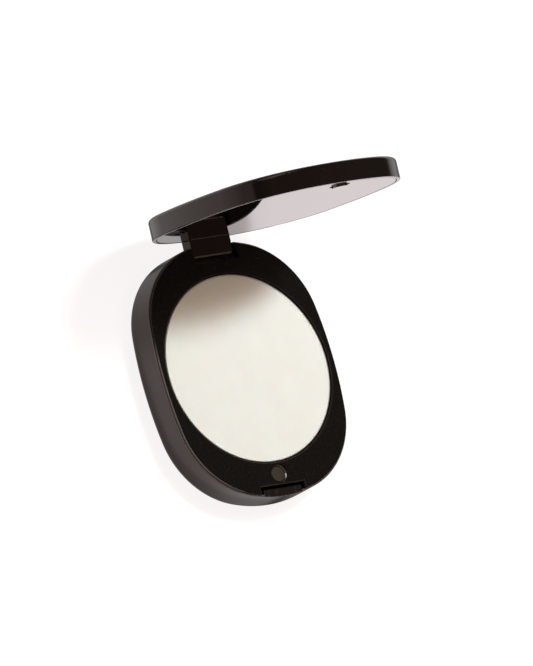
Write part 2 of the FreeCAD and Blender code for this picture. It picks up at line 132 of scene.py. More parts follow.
# %% [markdown]
# ## Masks
# A mask is a value that is 1 on some part of a surface and 0 on the rest. The finishes below pick
# places by their coordinates: above or below a limit, or between two. Masks that are multiplied give
# the places that lie in all of them. `spread` makes the soft kind, which grows between two values.

# %% Mask helpers
def above(tree, value, limit):
    """1 where the value is more than the limit."""
    return calc(tree, "GREATER_THAN", value, limit)


def below(tree, value, limit):
    """1 where the value is less than the limit."""
    return calc(tree, "LESS_THAN", value, limit)


def between(tree, value, low, high):
    """1 where the value lies between two limits."""
    return product(tree, above(tree, value, low), below(tree, value, high))


def outside(tree, mask):
    """1 where the mask is 0, and 0 where it is 1."""
    return calc(tree, "SUBTRACT", 1.0, mask)


def spread(tree, value, low, high, new_low=0.0, new_high=1.0):
    """Stretch the part of a value between low and high to a new range."""
    node = put(tree, "ShaderNodeMapRange", {"interpolation_type": "SMOOTHSTEP"}, Value=value)
    for place, number in enumerate((low, high, new_low, new_high), start=1):
        node.inputs[place].default_value = number
    return node.outputs[0]


def blend_colours(tree, share, first, second):
    """Mix two colours by a share that changes over the surface."""
    mix = put(tree, "ShaderNodeMix", {"data_type": "RGBA"}, in_0=share, in_6=first, in_7=second)
    return mix.outputs[2]


print("mask helpers:", [helper.__name__ for helper in (above, below, between, outside, spread)])

# %% [markdown]
# ## A material to start from
# Every finish starts with one Principled shader, and most end with a fine relief. The relief can also
# round off sharp edges for the light that falls on them, which leaves the shape itself as it is.

# %% Material helpers
def axes(tree, vector):
    """The X, Y and Z of a vector, by name."""
    return put(tree, "ShaderNodeSeparateXYZ", Vector=vector).outputs


def new_material(name):
    """A material with one Principled shader, and the object's own coordinates to paint by."""
    material = bpy.data.materials.new(name)
    material.use_nodes = True
    tree = material.node_tree
    tree.nodes.clear()
    shader = put(tree, "ShaderNodeBsdfPrincipled")
    put(tree, "ShaderNodeOutputMaterial", Surface=shader.outputs["BSDF"])
    here = put(tree, "ShaderNodeTexCoord").outputs["Object"]
    return material, tree, shader, here


def own_normal(tree):
    """The face's direction as the piece has it at rest, so that it stays when the piece turns."""
    normal = put(tree, "ShaderNodeNewGeometry").outputs["True Normal"]
    spaces = {"vector_type": "NORMAL", "convert_from": "WORLD", "convert_to": "OBJECT"}
    return put(tree, "ShaderNodeVectorTransform", spaces, Vector=normal).outputs[0]


def roughen(tree, shader, height, depth, strength=1.0, edge=0.0):
    """Feed a height times a depth in millimetres to the normal, with sharp edges rounded off."""
    bump = put(tree, "ShaderNodeBump", Height=height, Distance=depth * MM, Strength=strength)
    if edge:
        rounded = put(tree, "ShaderNodeBevel", {"samples": 6}, Radius=edge * MM)
        tree.links.new(rounded.outputs["Normal"], bump.inputs["Normal"])
    tree.links.new(bump.outputs["Normal"], shader.inputs["Normal"])


print("material helpers:", [helper.__name__ for helper in (axes, new_material, own_normal, roughen)])

# %% [markdown]
# ## The table
# Black plastic shows what it reflects, and in the photograph the case's walls mirror a white table.
# The table is one large square, a hair below the case's underside. It belongs to the studio, not to
# the object.

# %% Floor
FLOOR_HALF = 3.0
FLOOR_DROP = 0.02 * MM
floor_mesh = bpy.data.meshes.new("studio_floor")
floor_corners = [(-FLOOR_HALF, -FLOOR_HALF), (FLOOR_HALF, -FLOOR_HALF),
                 (FLOOR_HALF, FLOOR_HALF), (-FLOOR_HALF, FLOOR_HALF)]
floor_mesh.from_pydata([(x, y, -FLOOR_DROP) for x, y in floor_corners], [], [(0, 1, 2, 3)])
floor = bpy.data.objects.new("studio_floor", floor_mesh)
bpy.context.scene.collection.objects.link(floor)
print("floor:", 2 * FLOOR_HALF, "m wide")

# %% [markdown]
# The table adds a glow for the rays that see it directly or in a reflection, which keeps it white
# there, and the lamps' light on top of the glow keeps the shadow. In reflections the glow is weaker
# and the light counts for more, so the walls are darker where they mirror the case's own shadow.

# %% White table
PLAIN_TABLE, TABLE_GLOW = (0.80, 0.78, 0.76, 1), (1.0, 0.98, 0.975, 1)
LIT_IN_MIRRORS, GLOW_IN_MIRRORS = 0.54, 0.50
LIT_SEEN, GLOW_SEEN = 0.18, 0.90
floor_finish = bpy.data.materials.new("white_table")
floor_finish.use_nodes = True
tree = floor_finish.node_tree
tree.nodes.clear()
path = put(tree, "ShaderNodeLightPath").outputs
mirrored = calc(tree, "MAXIMUM", path["Is Glossy Ray"], path["Is Transmission Ray"])
rays = [(mirrored, LIT_IN_MIRRORS, GLOW_IN_MIRRORS), (path["Is Camera Ray"], LIT_SEEN, GLOW_SEEN)]
surface = put(tree, "ShaderNodeBsdfDiffuse", Color=PLAIN_TABLE).outputs[0]
for ray, shade, strength in rays:
    lit = put(tree, "ShaderNodeBsdfDiffuse", Color=(shade, shade, shade, 1)).outputs[0]
    glow = put(tree, "ShaderNodeEmission", Color=TABLE_GLOW, Strength=strength).outputs[0]
    white = put(tree, "ShaderNodeAddShader", in_0=lit, in_1=glow).outputs[0]
    surface = put(tree, "ShaderNodeMixShader", in_0=ray, in_1=surface, in_2=white).outputs[0]
put(tree, "ShaderNodeOutputMaterial", Surface=surface)
floor_mesh.materials.append(floor_finish)
print("finish:", floor_finish.name)

# %% [markdown]
# ## The room
# The upper side of the lid's edge mirrors a dim warm room, which is brighter overhead. Low down on
# the left the room has a pale wall. It carries on the grey that the table gives the left part of the
# edge.

# %% World
DIM_ROOM, OVERHEAD_ROOM = (0.09, 0.067, 0.054, 1), (0.185, 0.143, 0.116, 1)
PALE_WALL = (0.60, 0.58, 0.57, 1)
OVERHEAD_FROM, OVERHEAD_FULL = 0.15, 0.75
WALL_TOP, WALL_FULL = 0.25, 0.21
WALL_EDGE, WALL_MIDDLE = -0.70, -0.90
world = bpy.data.worlds.new("dim_warm_room")
world.use_nodes = True
tree = world.node_tree
looking = axes(tree, put(tree, "ShaderNodeTexCoord").outputs["Generated"])
overhead = spread(tree, looking["Z"], OVERHEAD_FROM, OVERHEAD_FULL)
room = blend_colours(tree, overhead, DIM_ROOM, OVERHEAD_ROOM)
low_down = spread(tree, looking["Z"], WALL_TOP, WALL_FULL)
leftwards = spread(tree, looking["X"], WALL_EDGE, WALL_MIDDLE)
room = blend_colours(tree, product(tree, low_down, leftwards), room, PALE_WALL)
tree.links.new(room, tree.nodes["Background"].inputs["Color"])
bpy.context.scene.world = world
print("world:", world.name)

# %% [markdown]
# ## The lamps
# A soft lamp high behind the hinge throws the lid's shadow over the back of the balm. That shadow has
# a quick edge and then a long slow one, so there are two lamps: a small cool one, and a wide warm one
# that stands for a bright ceiling. Both are left out of reflections, because the photograph shows no
# square highlights on the lid's edge or the deck. A wide pale panel on the left does the opposite: it
# only shows in reflections, as the soft bright lines along edges that lean that way.

# %% Lamps
def softbox(name, towards, distance, size, level, colour, lights=True, mirrored=True):
    """A lamp, width by height, that gives a level of light, 1 for white on white, where it is aimed."""
    lamp = bpy.data.lights.new(name, "AREA")
    lamp.shape = "RECTANGLE"
    lamp.size, lamp.size_y = size
    lamp.color = colour
    lamp.energy = level * (math.pi * distance) ** 2
    box = bpy.data.objects.new(name, lamp)
    direction = Vector(towards).normalized()
    facing = direction.to_track_quat("Z", "Y").to_matrix().to_4x4()
    box.matrix_world = Matrix.Translation(direction * distance) @ facing
    box.visible_diffuse = lights
    box.visible_glossy = mirrored
    bpy.context.scene.collection.objects.link(box)
    return box


key = softbox("key_softbox", towards=(0.265, 0.288, 1.0), distance=0.6, size=(0.078, 0.078),
              level=0.69, colour=(0.79, 0.92, 1.0), mirrored=False)
ceiling = softbox("ceiling_softbox", towards=(0.265, 0.18, 1.0), distance=0.6, size=(0.22, 0.22),
                  level=0.37, colour=(1.0, 0.765, 0.605), mirrored=False)
side = softbox("side_softbox", towards=(-0.530, 0.584, 0.616), distance=0.7, size=(0.68, 0.30),
               level=0.20, colour=(1.0, 0.96, 0.95), lights=False)
print("lamps:", [box.name for box in (key, ceiling, side)])

# %% [markdown]
# ## Two effects that several finishes share
# Moulded plastic has a fine grain from the tool it was cast in, and everything that is handled has
# soft smears and hairline scuffs. Both are patterns in real size, so they read the object's own
# coordinates in metres. As shader groups they are built once and used with other sizes in each finish.
# The first group is the grain: a noise with small pits, and flecks where the noise is highest.

# %% Shader group: moulded grain
def new_group(name, inputs, outputs):
    """An empty shader group, with its inputs to read and its outputs to fill."""
    group = bpy.data.node_groups.new(name, "ShaderNodeTree")
    for label, kind in inputs:
        group.interface.new_socket(label, in_out="INPUT", socket_type=f"NodeSocket{kind}")
    for label in outputs:
        group.interface.new_socket(label, in_out="OUTPUT", socket_type="NodeSocketFloat")
    return group, put(group, "NodeGroupInput").outputs, put(group, "NodeGroupOutput").inputs


PIT_SHARE = 0.5
FLECK_FROM, FLECK_FULL = 0.52, 0.72
grain_group, given, result = new_group(
    "moulded_grain", [("Place", "Vector"), ("Grains per metre", "Float")], ["Height", "Fleck"])
scale = given["Grains per metre"]
fine = put(grain_group, "ShaderNodeTexNoise", Vector=given["Place"], Scale=scale, Detail=2.0).outputs[0]
pits = put(grain_group, "ShaderNodeTexVoronoi", Vector=given["Place"], Scale=scale).outputs["Distance"]
height = total(grain_group, fine, product(grain_group, pits, PIT_SHARE))
grain_group.links.new(height, result["Height"])
grain_group.links.new(spread(grain_group, fine, FLECK_FROM, FLECK_FULL), result["Fleck"])


def grain(tree, here, per_metre):
    """The grain at a place, in this many grains per metre."""
    node = put(tree, "ShaderNodeGroup", {"node_tree": grain_group})
    tree.links.new(here, node.inputs["Place"])
    node.inputs["Grains per metre"].default_value = per_metre
    return node.outputs


print("group:", grain_group.name)

# %% [markdown]
# The second group holds the marks of handling. Smears are slow clouds. Scuffs are hairlines: a noise
# that is stretched along one slanted direction, and cut so high that only a few lines are left.

# %% Shader group: handling marks
SMEARS_PER_METRE = 95.0
SMEAR_FROM, SMEAR_FULL = 0.45, 0.70
HAIR_FROM, HAIR_FULL = 0.70, 0.78
HAIR_TURN = (0.4, 0.2, 0.7)
HAIRS_PER_METRE = (120.0, 5200.0, 900.0)
marks_group, given, result = new_group("handling_marks", [("Place", "Vector")], ["Smear", "Scuff"])
cloud = put(marks_group, "ShaderNodeTexNoise", Vector=given["Place"], Scale=SMEARS_PER_METRE, Detail=3.0)
marks_group.links.new(spread(marks_group, cloud.outputs[0], SMEAR_FROM, SMEAR_FULL), result["Smear"])
turned = put(marks_group, "ShaderNodeMapping", Vector=given["Place"],
             Rotation=HAIR_TURN, Scale=HAIRS_PER_METRE)
hairs = put(marks_group, "ShaderNodeTexNoise", Vector=turned.outputs[0], Scale=1.0, Detail=1.0)
marks_group.links.new(spread(marks_group, hairs.outputs[0], HAIR_FROM, HAIR_FULL), result["Scuff"])


def handling(tree, here):
    """The marks of handling at a place."""
    node = put(tree, "ShaderNodeGroup", {"node_tree": marks_group})
    tree.links.new(here, node.inputs["Place"])
    return node.outputs


print("group:", marks_group.name)

# %% [markdown]
# ## Measures from the frame
# The masks of the next finishes are measured from a few places that the frame gives: the tray's top
# and its ends, the hinge's pin and the pan. The lid stands open in the frame and is shut at the low end
# of its hinge, so that end also tells which way the mirror faces.

# %% Measures
tray_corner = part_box("base_shell")[1]
TRAY_TOP, TRAY_END = tray_corner.z, tray_corner.y
pan_low, pan_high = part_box("balm_pan")
PAN_MIDDLE, PAN_REACH = (pan_low.y + pan_high.y) / 2, pan_high.x
lid_hinge = frame["joints"][0]
PIN_Y = lid_hinge["pos_m"][1]
OPEN_ANGLE = math.radians(-lid_hinge["range_deg"][0])
MIRROR_FACES = (0.0, -math.sin(OPEN_ANGLE), -math.cos(OPEN_ANGLE))
print("tray top", round(TRAY_TOP / MM, 2), "mm, lid open by", round(math.degrees(OPEN_ANGLE)), "degrees")

# %% [markdown]
# ## Satin black: tray and lid
# The tray and the lid are moulded in black plastic with a smooth satin face. The grey that the photograph
# shows on the walls is no paint: it is the white table, mirrored more strongly where the wall turns away. So
# the colour stays near black and the shader's own gloss does the rest. A few places differ, and masks pick
# them out. The thumb pad in the notch has a coarse moulded texture for grip. Two thin lines across the hinge
# arm, at its foot and at its root, are painted pale: they are painted highlights.

# %% Satin black: the thumb pad and the arm
case_finish, tree, shader, here = new_material("satin_black_plastic")
place = axes(tree, here)
to_side = calc(tree, "ABSOLUTE", place["X"])
to_end = calc(tree, "ABSOLUTE", place["Y"])

PAD_LOW, PAD_BACK, PAD_HALF = TRAY_TOP - 0.08 * MM, -TRAY_END + 2.3 * MM, 6.05 * MM
pad = product(tree, above(tree, place["Z"], PAD_LOW), below(tree, place["Y"], PAD_BACK),
              below(tree, to_side, PAD_HALF))

# Painted highlight: the foot and root lines of the arm are painted pale, where light would catch the arm.
ARM_HALF = 5.85 * MM
ARM_LOW, ARM_HIGH = TRAY_TOP - 1.1 * MM, TRAY_TOP + 0.05 * MM
FOOT_FRONT, FOOT_BACK = PIN_Y - 1.9 * MM, PIN_Y - 1.3 * MM
ROOT_FRONT, ROOT_BACK = PIN_Y + 3.06 * MM, PIN_Y + 3.35 * MM
foot_line = between(tree, place["Y"], FOOT_FRONT, FOOT_BACK)
root_line = between(tree, place["Y"], ROOT_FRONT, ROOT_BACK)
arm_highlight_lines = product(tree, between(tree, place["Z"], ARM_LOW, ARM_HIGH),
                    total(tree, foot_line, root_line), below(tree, to_side, ARM_HALF))
print("masks: thumb pad and two lines on the arm")

# %% [markdown]
# The tray's upper rim gets a painted highlight as well: a pale line painted along it. Its mask is a thin
# layer at the rim's height, far enough from the middle, that stops at the pad, at the hinge and before the
# lid. The pad's front edge carries the rim's painted highlight on: there the rounded normal leans forwards.
# Inside the slots under the arm and round the pad the plastic is painted paler. This is painted light, which
# lifts the slots out of their own shade.

# %% Satin black: the rim and the slots
# Painted highlight: a pale line painted along the rim, carried on along the pad's front edge.
RIM_LOW, RIM_HIGH = TRAY_TOP - 0.14 * MM, TRAY_TOP + 0.03 * MM
RIM_INSIDE, RIM_BACK = 27.4 * MM, TRAY_END + 0.1 * MM
HINGE_FRONT, HINGE_HALF = TRAY_END - 6.0 * MM, 6.95 * MM
from_middle = put(tree, "ShaderNodeVectorMath", {"operation": "LENGTH"}, in_0=here).outputs["Value"]
by_hinge = product(tree, above(tree, place["Y"], HINGE_FRONT), below(tree, to_side, HINGE_HALF))
rim = product(tree, between(tree, place["Z"], RIM_LOW, RIM_HIGH), above(tree, from_middle, RIM_INSIDE),
              below(tree, place["Y"], RIM_BACK), outside(tree, pad), outside(tree, by_hinge))

PAD_ROUNDING = 0.3 * MM
PAD_LEAN_FROM, PAD_LEAN_FULL = -0.15, -0.5
rounded = put(tree, "ShaderNodeBevel", {"samples": 8}, Radius=PAD_ROUNDING).outputs["Normal"]
pad_front = product(tree, pad, spread(tree, axes(tree, rounded)["Y"], PAD_LEAN_FROM, PAD_LEAN_FULL))

# Painted light: the slots are painted paler, which lifts them out of their shade.
SLOT_HALF = 7.2 * MM
SLOT_LOW, SLOT_HIGH = 1.5 * MM, TRAY_TOP - 1.3 * MM
SLOT_INSIDE, SLOT_OUTSIDE = TRAY_END - 6.0 * MM, TRAY_END - 1.4 * MM
in_slot = product(tree, between(tree, place["Z"], SLOT_LOW, SLOT_HIGH), below(tree, to_side, SLOT_HALF),
                  between(tree, to_end, SLOT_INSIDE, SLOT_OUTSIDE))
print("masks: rim, front of the pad and slots")

# %% [markdown]
# The colour starts near black, a little paler on scuffs and on the pad's grains, and takes the painted
# highlights and the painted light in the slots on top. The relief is a very fine skin all over, and a coarse
# grip on the pad.

# %% Satin black: colour and relief
SATIN_BLACK, SATIN_PALE = (0.0040, 0.0030, 0.0025, 1), (0.0190, 0.0175, 0.0165, 1)
PAINTED_ARM_HIGHLIGHT, PAINTED_RIM_HIGHLIGHT = (0.22, 0.19, 0.175, 1), (0.105, 0.083, 0.074, 1)
PAINTED_SLOT_LIGHT = (0.075, 0.062, 0.057, 1)
SKIN_PER_METRE, GRIP_PER_METRE = 5200.0, 1300.0
SKIN_HEIGHT, GRIP_HEIGHT = 0.05, 4.0
CASE_SCUFF, PAD_TONE = 0.35, 0.15
CASE_DEPTH_MM, CASE_EDGE_MM = 0.05, 0.15
marks = handling(tree, here)
skin = grain(tree, here, SKIN_PER_METRE)
grip = grain(tree, here, GRIP_PER_METRE)
tone = total(tree, product(tree, marks["Scuff"], CASE_SCUFF), product(tree, pad, grip["Fleck"]),
             product(tree, pad, PAD_TONE))
colour = blend_colours(tree, tone, SATIN_BLACK, SATIN_PALE)
# Painted highlight on the arm's two lines.
colour = blend_colours(tree, arm_highlight_lines, colour, PAINTED_ARM_HIGHLIGHT)
# Painted highlight on the rim and on the pad's front edge.
colour = blend_colours(tree, total(tree, rim, pad_front), colour, PAINTED_RIM_HIGHLIGHT)
# Painted light in the slots.
colour = blend_colours(tree, in_slot, colour, PAINTED_SLOT_LIGHT)
tree.links.new(colour, shader.inputs["Base Color"])
relief = total(tree, product(tree, skin["Height"], SKIN_HEIGHT),
               product(tree, pad, grip["Height"], GRIP_HEIGHT))
roughen(tree, shader, relief, CASE_DEPTH_MM, edge=CASE_EDGE_MM)
print("colour and relief:", case_finish.name)

# %% [markdown]
# The tray is a little glossier than the lid. Smears make the skin duller, and the pad's grip much
# duller. Faces that turn far away from the eye lose their gloss, as a finely worn skin does: the
# photograph shows no white outline round the dark case. The lid's narrow face round the mirror is the
# exception. It keeps its gloss and has more of it, because the photograph shows it pale.

# %% Satin black: gloss
TRAY_SKIN_END, LID_SKIN_START = TRAY_TOP + 1.0 * MM, TRAY_TOP + 2.5 * MM
TRAY_GLOSS, LID_GLOSS = 0.62, 0.43
WORN_FROM, WORN_FULL, WORN_SHARE = 0.55, 0.84, 0.996
SAME_WAY = 0.8
SATIN_TINT = (1.0, 0.77, 0.73, 1)
SATIN_ROUGHNESS, SMEAR_ROUGHNESS, GRIP_ROUGHNESS = 0.13, 0.09, 0.45


def along_mirror(tree):
    """1 on faces that look the way the mirror looks in the open pose, and less on faces that turn away."""
    facing = own_normal(tree)
    dot = put(tree, "ShaderNodeVectorMath", {"operation": "DOT_PRODUCT"}, in_0=facing, in_1=MIRROR_FACES)
    return dot.outputs["Value"]


turned_away = put(tree, "ShaderNodeLayerWeight", Blend=0.5).outputs["Facing"]
on_lid = above(tree, place["Z"], LID_SKIN_START)
lid_face = product(tree, above(tree, along_mirror(tree), SAME_WAY), on_lid)
worn = product(tree, spread(tree, turned_away, WORN_FROM, WORN_FULL), outside(tree, lid_face))
fresh = spread(tree, place["Z"], TRAY_SKIN_END, LID_SKIN_START, TRAY_GLOSS, LID_GLOSS)
level = total(tree, product(tree, fresh, outside(tree, product(tree, worn, WORN_SHARE))), lid_face)
tree.links.new(level, shader.inputs["Specular IOR Level"])
shader.inputs["Specular Tint"].default_value = SATIN_TINT
roughness = total(tree, product(tree, marks["Smear"], SMEAR_ROUGHNESS), SATIN_ROUGHNESS,
                  product(tree, pad, GRIP_ROUGHNESS))
tree.links.new(roughness, shader.inputs["Roughness"])
print("finish:", case_finish.name)

# %% [markdown]
# ## Matte black: the deck
# The deck is moulded against a spark-worn tool face. Its grain is a few tenths of a millimetre and scatters
# light, so the deck is the darkest large face and shows fine flecks up close. Three edges are painted paler:
# a painted reflection on the lip of the opening, a painted highlight on the left edge and painted light on
# the notch's edge. The edge of the round opening is picked by its distance from the pan's middle. The left
# edge is picked where the rounded normal leans to the left, well away from the opening, and it fades towards
# the back. The edge of the thumb notch is picked by its place.

# %% Matte black: the edges
deck_finish, tree, shader, here = new_material("matte_black_deck")
place = axes(tree, here)
# Painted reflection: the lip of the opening is painted paler, standing for the balm mirrored in it.
LIP_OUTSIDE, LIP_INSIDE = PAN_REACH + 0.65 * MM, PAN_REACH + 0.35 * MM
on_plan = put(tree, "ShaderNodeCombineXYZ", X=place["X"], Y=place["Y"]).outputs[0]
from_pan = put(tree, "ShaderNodeVectorMath", {"operation": "DISTANCE"}, in_0=on_plan,
               in_1=(0.0, PAN_MIDDLE, 0.0)).outputs["Value"]
on_lip = spread(tree, from_pan, LIP_OUTSIDE, LIP_INSIDE)

# Painted highlight: the deck's left edge is painted pale where its rounded normal leans towards the light.
EDGE_ROUNDING = 0.35 * MM
EDGE_LEAN_FROM, EDGE_LEAN_FULL = -0.12, -0.45
EDGE_FROM_PAN, EDGE_RIGHT = PAN_REACH + 1.2 * MM, -12.0 * MM
EDGE_FADE_BACK, EDGE_FADE_FRONT = 12.0 * MM, 4.0 * MM
rounded = put(tree, "ShaderNodeBevel", {"samples": 8}, Radius=EDGE_ROUNDING).outputs["Normal"]
left_edge = product(tree, spread(tree, axes(tree, rounded)["X"], EDGE_LEAN_FROM, EDGE_LEAN_FULL),
                    above(tree, from_pan, EDGE_FROM_PAN), below(tree, place["X"], EDGE_RIGHT),
                    spread(tree, place["Y"], EDGE_FADE_BACK, EDGE_FADE_FRONT))

# Painted light: the notch's edge is painted paler, standing for light from the front.
NOTCH_BACK, NOTCH_HALF = -TRAY_END + 3.3 * MM, 7.2 * MM
to_side = calc(tree, "ABSOLUTE", place["X"])
in_notch = product(tree, below(tree, place["Y"], NOTCH_BACK), below(tree, to_side, NOTCH_HALF))
print("masks: lip of the opening, left edge and notch")

# %% [markdown]
# The deck's colour, gloss and relief follow the same steps as the case's, with a coarser grain and a weaker
# gloss. The three edges with painted light go on top of the flecked black, and smears polish the matte face
# a bit.

# %% Matte black: colour, gloss and relief
MATTE_BLACK, MATTE_FLECK = (0.0046, 0.0041, 0.0038, 1), (0.0140, 0.0126, 0.0115, 1)
PAINTED_LIP_LIGHT, PAINTED_EDGE_HIGHLIGHT = (0.021, 0.018, 0.017, 1), (0.16, 0.147, 0.138, 1)
PAINTED_NOTCH_LIGHT = (0.026, 0.023, 0.021, 1)
DECK_GRAINS_PER_METRE = 3000.0
DECK_FLECK, DECK_SCUFF = 0.7, 0.3
DECK_GLOSS, DECK_TINT = 0.24, (1.0, 0.92, 0.88, 1)
DECK_ROUGHNESS, POLISHED_SMEAR = 0.23, 0.05
DECK_DEPTH_MM, DECK_STRENGTH, DECK_EDGE_MM = 0.035, 0.6, 0.4
marks = handling(tree, here)
speck = grain(tree, here, DECK_GRAINS_PER_METRE)
tone = total(tree, product(tree, speck["Fleck"], DECK_FLECK), product(tree, marks["Scuff"], DECK_SCUFF))
colour = blend_colours(tree, tone, MATTE_BLACK, MATTE_FLECK)
# Painted reflection on the lip of the opening.
colour = blend_colours(tree, on_lip, colour, PAINTED_LIP_LIGHT)
# Painted highlight on the left edge.
colour = blend_colours(tree, left_edge, colour, PAINTED_EDGE_HIGHLIGHT)
# Painted light on the notch's edge.
colour = blend_colours(tree, in_notch, colour, PAINTED_NOTCH_LIGHT)
tree.links.new(colour, shader.inputs["Base Color"])
shader.inputs["Specular IOR Level"].default_value = DECK_GLOSS
shader.inputs["Specular Tint"].default_value = DECK_TINT
roughness = calc(tree, "SUBTRACT", DECK_ROUGHNESS, product(tree, marks["Smear"], POLISHED_SMEAR))
tree.links.new(roughness, shader.inputs["Roughness"])
roughen(tree, shader, speck["Height"], DECK_DEPTH_MM, DECK_STRENGTH, edge=DECK_EDGE_MM)
print("finish:", deck_finish.name)

# %% [markdown]
# ## Metals
# Five metals show or could show: the pressed aluminium pan, the bright plated cup round the base's
# magnet, that magnet's dull plating, the polished plating of the magnet that stands out of the mirror,
# and the drawn steel pin. Each is the same shader with its own colour, roughness and direction of the
# fine lines, so one function makes them.

# %% Metals
LINE_FROM, LINE_FULL, LINE_ROUGHNESS = 0.35, 0.65, 0.10


def metal(name, pale, dark, roughness, across, along, depth):
    """A metal with fine lines: so many per metre across and along them, this deep in millimetres."""
    material, tree, shader, here = new_material(name)
    stretched = put(tree, "ShaderNodeMapping", Vector=here, Scale=(along, across, across)).outputs[0]
    lines = put(tree, "ShaderNodeTexNoise", Vector=stretched, Scale=1.0, Detail=2.0).outputs[0]
    smear = handling(tree, here)["Smear"]
    colour = blend_colours(tree, spread(tree, lines, LINE_FROM, LINE_FULL), (*dark, 1), (*pale, 1))
    tree.links.new(colour, shader.inputs["Base Color"])
    shader.inputs["Metallic"].default_value = 1.0
    uneven = total(tree, product(tree, total(tree, lines, smear), LINE_ROUGHNESS), roughness)
    tree.links.new(uneven, shader.inputs["Roughness"])
    roughen(tree, shader, lines, depth)
    return material


pan_finish = metal("pressed_aluminium", pale=(0.84, 0.78, 0.74), dark=(0.74, 0.68, 0.64),
                   roughness=0.46, across=2600.0, along=2600.0, depth=0.004)
cup_finish = metal("bright_plating", pale=(0.42, 0.41, 0.39), dark=(0.33, 0.32, 0.31),
                   roughness=0.14, across=3000.0, along=3000.0, depth=0.0004)
magnet_finish = metal("dull_plating", pale=(0.29, 0.30, 0.27), dark=(0.25, 0.26, 0.235),
                      roughness=0.30, across=9000.0, along=700.0, depth=0.001)
button_finish = metal("polished_plating", pale=(0.26, 0.225, 0.21), dark=(0.23, 0.20, 0.187),
                      roughness=0.06, across=3000.0, along=3000.0, depth=0.0002)
pin_finish = metal("drawn_steel", pale=(0.62, 0.61, 0.60), dark=(0.45, 0.45, 0.44),
                   roughness=0.20, across=6000.0, along=150.0, depth=0.006)
print("metals:", [m.name for m in (pan_finish, cup_finish, magnet_finish, button_finish, pin_finish)])

# %% [markdown]
# ## The mirror
# Silvered glass is drawn as a polished metal face. At this flat angle it shows the white table beside
# the case, a little greyer than the table itself. The edge is ground, so faces that turn away from
# the mirror's plane are frosted: the surface normal against the plane's own direction picks them out.
# The wall of the drilled hole gets painted shade, near black, so that a dark ring shows round the lid's
# magnet.

# %% Mirror glass
SILVER, GROUND_GLASS = (0.845, 0.825, 0.825, 1), (0.72, 0.71, 0.68, 1)
HOLE_PAINTED_SHADE, HOLE_REACH = (0.012, 0.012, 0.014, 1), 3.4 * MM
IN_PLANE, TURNED_OUT = 0.999, 0.96
MIRROR_TINT = (0.65, 0.61, 0.63, 1)
CLEAN_HAZE, SMEAR_HAZE, GROUND_HAZE = 0.012, 0.018, 0.4
mirror_finish, tree, shader, here = new_material("silvered_glass")
marks = handling(tree, here)
ground = spread(tree, along_mirror(tree), IN_PLANE, TURNED_OUT)
colour = blend_colours(tree, ground, SILVER, GROUND_GLASS)
magnet_low, magnet_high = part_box("lid_magnet")
hole_middle = (magnet_low + magnet_high) / 2
from_hole = put(tree, "ShaderNodeVectorMath", {"operation": "DISTANCE"}, in_0=here, in_1=hole_middle)
in_hole = below(tree, from_hole.outputs["Value"], HOLE_REACH)
# Painted shade: the hole's wall is painted near black, where it would lie in shade.
colour = blend_colours(tree, product(tree, ground, in_hole), colour, HOLE_PAINTED_SHADE)
tree.links.new(colour, shader.inputs["Base Color"])
shader.inputs["Metallic"].default_value = 1.0
shader.inputs["Specular Tint"].default_value = MIRROR_TINT
roughness = total(tree, product(tree, marks["Smear"], SMEAR_HAZE), CLEAN_HAZE,
                  product(tree, ground, GROUND_HAZE))
tree.links.new(roughness, shader.inputs["Roughness"])
print("finish:", mirror_finish.name)

# %% [markdown]
# ## Hidden sheets
# The tape ring under the pan, the adhesive behind the mirror and the backing plate only show when the
# part is taken to pieces. They still get their own finishes: fibrous white tape and a plain dark sheet.

# %% Tape and backing
FLECK_ROUGHNESS = 0.2


def sheet(name, plain, fleck, per_metre, roughness, depth):
    """A thin sheet with a fibrous grain, rougher where it is flecked."""
    material, tree, shader, here = new_material(name)
    fibre = grain(tree, here, per_metre)
    colour = blend_colours(tree, fibre["Fleck"], (*plain, 1), (*fleck, 1))
    tree.links.new(colour, shader.inputs["Base Color"])
    uneven = total(tree, product(tree, fibre["Fleck"], FLECK_ROUGHNESS), roughness)
    tree.links.new(uneven, shader.inputs["Roughness"])
    roughen(tree, shader, fibre["Height"], depth)
    return material


tape_finish = sheet("white_tape", plain=(0.74, 0.73, 0.69), fleck=(0.86, 0.85, 0.81),
                    per_metre=1800.0, roughness=0.62, depth=0.03)
backing_finish = sheet("dark_backing_sheet", plain=(0.018, 0.018, 0.018), fleck=(0.035, 0.034, 0.033),
                       per_metre=2600.0, roughness=0.5, depth=0.02)
print("finishes:", tape_finish.name, backing_finish.name)

# %% [markdown]
# ## Balm
# The balm is a poured cream: ivory, faintly mottled, with a soft sheen. Light enters it and comes out
# a little further on, redder, which warms the edge of a shadow, so the finish scatters light below
# the surface over a millimetre or so.

# %% Balm finish
IVORY, PALE_IVORY = (0.858, 0.856, 0.796, 1), (0.882, 0.882, 0.830, 1)
MOTTLES_PER_METRE, PORES_PER_METRE = 160.0, 2100.0
MOTTLE_FROM, MOTTLE_FULL = 0.3, 0.7
MOTTLE_TONE, PORE_TONE = 0.7, 0.3
SCATTER_SHARE, SCATTER_COLOURS, SCATTER_REACH = 0.25, (1.0, 0.55, 0.3), 1.5 * MM
BALM_GLOSS, BALM_ROUGHNESS, MOTTLE_ROUGHNESS = 0.35, 0.42, 0.16
PORE_HEIGHT, BALM_DEPTH_MM = 0.1, 0.02
balm_finish, tree, shader, here = new_material("ivory_balm")
mottle = put(tree, "ShaderNodeTexNoise", Vector=here, Scale=MOTTLES_PER_METRE, Detail=4.0).outputs[0]
pores = grain(tree, here, PORES_PER_METRE)
tone = total(tree, spread(tree, mottle, MOTTLE_FROM, MOTTLE_FULL, 0.0, MOTTLE_TONE),
             product(tree, pores["Fleck"], PORE_TONE))
tree.links.new(blend_colours(tree, tone, IVORY, PALE_IVORY), shader.inputs["Base Color"])
